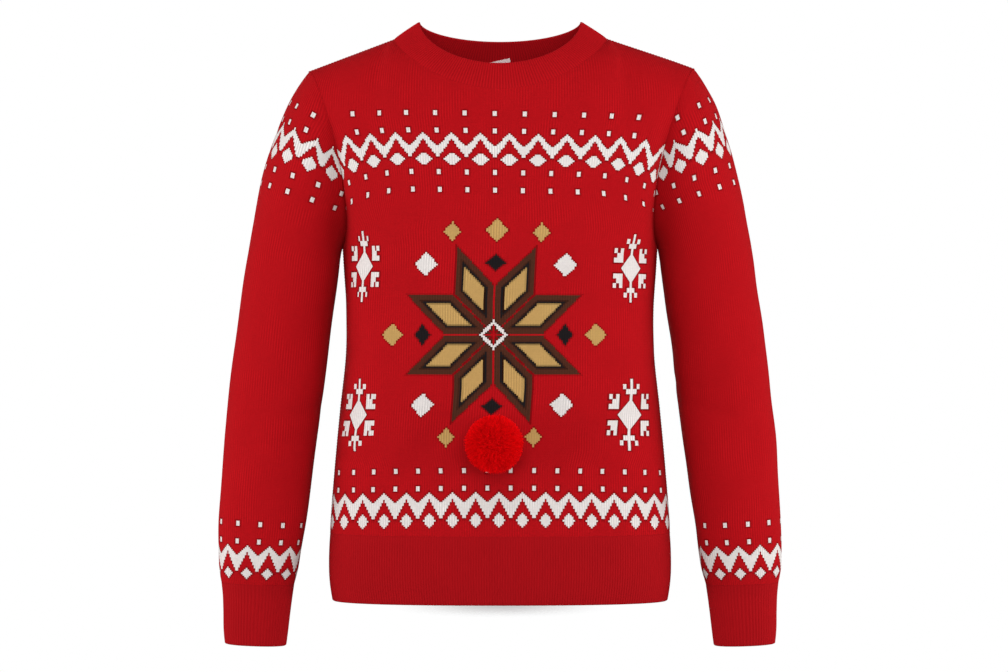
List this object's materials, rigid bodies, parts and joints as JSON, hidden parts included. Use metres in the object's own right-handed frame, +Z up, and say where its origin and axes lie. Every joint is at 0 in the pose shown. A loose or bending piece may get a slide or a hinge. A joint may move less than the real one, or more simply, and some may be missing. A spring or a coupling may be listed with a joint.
{
  "type": "christmas sweater",
  "caption": "Hollow knitted crew-neck pullover, filled out as if worn, with long sleeves, ribbed hem, cuffs and collar, and a fluffy pompom on the front.",
  "frame": {"origin": "middle of the neck, level with the two points where the collar meets the shoulder seams, where the garment rests on its wearer", "axes": "+Z up along the body, +X to the wearer's left, -Y out of the chest"},
  "size_m": [0.6064, 0.2219, 0.6732],
  "materials": {
    "knit": "matte red acrylic knit with white and brown patterns",
    "rib": "matte dark red ribbed knit",
    "pompom_yarn": "fluffy scarlet yarn",
    "label_tape": "blank woven satin tape"
  },
  "bodies": {
    "root": {"front_panel": "knit", "back_panel": "knit", "sleeve_left": "knit", "sleeve_right": "knit", "neck_rib": "rib", "hem_rib_front": "rib", "hem_rib_back": "rib", "cuff_left": "rib", "cuff_right": "rib", "pompom": "pompom_yarn", "neck_label": "label_tape"}
  },
  "joints": []
}
